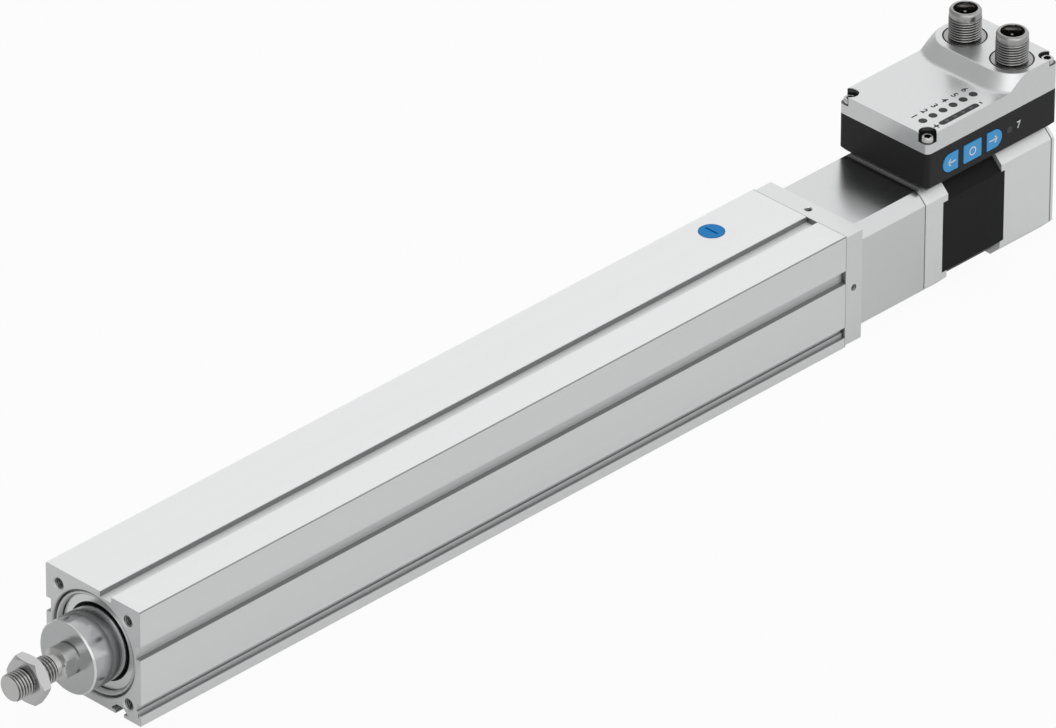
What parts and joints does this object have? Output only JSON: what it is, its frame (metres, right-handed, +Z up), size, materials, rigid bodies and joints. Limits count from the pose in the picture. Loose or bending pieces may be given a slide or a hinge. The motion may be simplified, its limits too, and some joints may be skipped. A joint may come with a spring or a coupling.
{
  "type": "electric cylinder",
  "caption": "Slim square electric cylinder with a round piston rod and threaded stud, a stepper motor behind it, and a drive unit with push buttons and round plug connectors on top.",
  "frame": {"origin": "centre of the front mounting face, on the rod's axis", "axes": "+X along the axis from the front face to the motor, +Z up out of the drive unit, +Y across; the rod extends along -X"},
  "size_m": [0.4843, 0.045, 0.0833],
  "materials": {
    "anodised": "satin anodised",
    "steel": "polished",
    "cast_aluminium": "satin cast",
    "painted_silver": "satin painted",
    "black_plastic": "fine grain",
    "black_rubber": "smooth",
    "laminated_steel": "black lacquered",
    "iron": "laminated",
    "magnet": "sintered",
    "copper": "enamelled",
    "blue_plastic": "gloss",
    "lens": "gloss",
    "plated_brass": "nickel plated",
    "gold": "gold plated",
    "board": "satin",
    "capacitor": "satin"
  },
  "bodies": {
    "base": {"bar_display": "lens", "bearing_cap": "anodised", "bearing_clamp_ring": "steel", "bearing_flange": "anodised", "bearing_outer_rings": "steel", "bearing_shields": "steel", "board_capacitors": "capacitor", "cap_ring": "steel", "circuit_board": "board", "connector_gaskets": "black_rubber", "connector_inserts": "black_plastic", "connector_nuts": "steel", "connector_pins": "gold", "coupling_housing": "anodised", "coupling_screws": "steel", "cover_screws": "steel", "cover_seal": "black_rubber", "drive_base": "black_plastic", "drive_cover": "painted_silver", "drive_screws": "steel", "encoder_board": "board", "end_buffers": "black_plastic", "flange_screws": "steel", "grease_plug": "blue_plastic", "light_windows": "lens", "motor_bearings": "steel", "motor_front_bell": "cast_aluminium", "motor_rear_cover": "cast_aluminium", "motor_rear_housing": "cast_aluminium", "motor_screws": "steel", "power_connector": "plated_brass", "profile_housing": "anodised", "rod_bush": "black_plastic", "signal_connector": "plated_brass", "stator_coils": "copper", "stator_core": "laminated_steel", "switch_board": "board", "wiper_seal": "black_rubber"},
    "rod": {"piston_rod": "steel", "rod_stud": "steel", "rod_nut": "steel", "piston": "cast_aluminium", "piston_guides": "black_plastic", "piston_magnet": "magnet", "ball_nut": "steel", "nut_ring": "steel"},
    "screw": {"ball_screw": "steel", "screw_support": "black_plastic", "bearing_inner_rings": "steel", "screw_lock_nut": "steel", "screw_hub": "cast_aluminium", "coupling_spider": "black_rubber", "motor_hub": "cast_aluminium", "motor_shaft": "steel", "rotor": "iron", "encoder_magnet": "magnet"},
    "button_left": {"button_left": "blue_plastic"},
    "button_middle": {"button_middle": "blue_plastic"},
    "button_right": {"button_right": "blue_plastic"}
  },
  "joints": [
    {"name": "rod_slide", "type": "slide", "parent": "base", "child": "rod", "axis": [-1, 0, 0], "range_m": [0, 0.2]},
    {"name": "screw_spin", "type": "hinge", "parent": "base", "child": "screw", "pos_m": [0.3, 0, 0], "axis": [1, 0, 0], "range_deg": [0, 7200]},
    {"name": "button_left_press", "type": "slide", "parent": "base", "child": "button_left", "axis": [0, 1, 0], "range_m": [0, 0.0005], "stiffness_N_per_m": 800, "springref_m": -0.0005},
    {"name": "button_middle_press", "type": "slide", "parent": "base", "child": "button_middle", "axis": [0, 1, 0], "range_m": [0, 0.0005], "stiffness_N_per_m": 800, "springref_m": -0.0005},
    {"name": "button_right_press", "type": "slide", "parent": "base", "child": "button_right", "axis": [0, 1, 0], "range_m": [0, 0.0005], "stiffness_N_per_m": 800, "springref_m": -0.0005}
  ],
  "couplings": [
    {"joint": "screw_spin", "follows": "rod_slide", "rad_per_m": 628.3}
  ]
}
